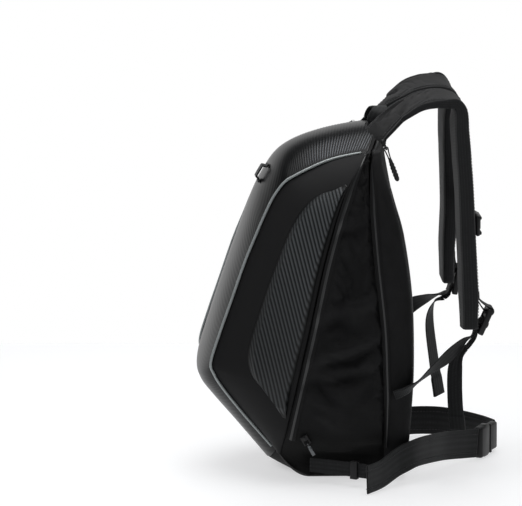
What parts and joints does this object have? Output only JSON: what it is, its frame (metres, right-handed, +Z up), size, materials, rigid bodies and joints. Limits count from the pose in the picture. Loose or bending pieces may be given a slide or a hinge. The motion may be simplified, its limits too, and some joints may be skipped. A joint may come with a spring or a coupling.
{
  "type": "motorcycle backpack",
  "caption": "Motorcycle backpack with a wedge-shaped moulded shell, an opened expansion gusset, padded shoulder straps, a chest strap and a fastened hip belt, standing on its base.",
  "frame": {"origin": "on the floor, in the middle of the gusset's flat bottom", "axes": "+Z up, the moulded shell faces -Y, the wearer's side is +Y, +X is the wearer's right"},
  "size_m": [0.3559, 0.4259, 0.5282],
  "materials": {
    "black_cloth": "matte woven",
    "carbon_skin": "satin twill-embossed skin",
    "grey_skin": "satin ribbed skin",
    "reflective": "reflective satin",
    "webbing": "woven webbing",
    "black_plastic": "satin moulded",
    "chrome": "polished"
  },
  "bodies": {
    "pack": {"expansion_gusset": "black_cloth", "rear_body": "black_cloth", "back_panel": "black_cloth", "shell_zip": "black_cloth", "rear_zip": "black_cloth", "shoulder_strap_right": "black_cloth", "shoulder_strap_left": "black_cloth", "front_shell": "carbon_skin", "side_insert_right": "grey_skin", "side_insert_left": "grey_skin", "piping_right": "reflective", "piping_left": "reflective", "grab_handle": "webbing", "light_loop": "webbing", "lower_webbing_right": "webbing", "lower_webbing_left": "webbing", "webbing_tail_right": "webbing", "webbing_tail_left": "webbing", "hip_belt_right": "webbing", "hip_belt_left": "webbing", "sternum_strap_right": "webbing", "sternum_strap_left": "webbing", "belt_anchor_right": "webbing", "belt_anchor_left": "webbing", "strap_buckle_right": "black_plastic", "strap_buckle_left": "black_plastic", "sternum_slider_right": "black_plastic", "sternum_slider_left": "black_plastic", "sternum_buckle": "black_plastic", "belt_buckle": "black_plastic", "belt_triglide_right": "black_plastic", "belt_triglide_left": "black_plastic", "top_zip_slider": "black_plastic", "side_zip_slider": "black_plastic"},
    "top_pull": {"top_zip_pull": "black_plastic"},
    "side_tab": {"side_zip_tab": "chrome"}
  },
  "joints": [
    {"name": "top_pull_swing", "type": "hinge", "parent": "pack", "child": "top_pull", "pos_m": [0.097, 0.053, 0.461], "axis": [1, 0, 0], "range_deg": [0, 120]},
    {"name": "side_tab_swing", "type": "hinge", "parent": "pack", "child": "side_tab", "pos_m": [0.1285, -0.058, 0.057], "axis": [0, -0.8761, -0.4821], "range_deg": [-14, 100]}
  ]
}
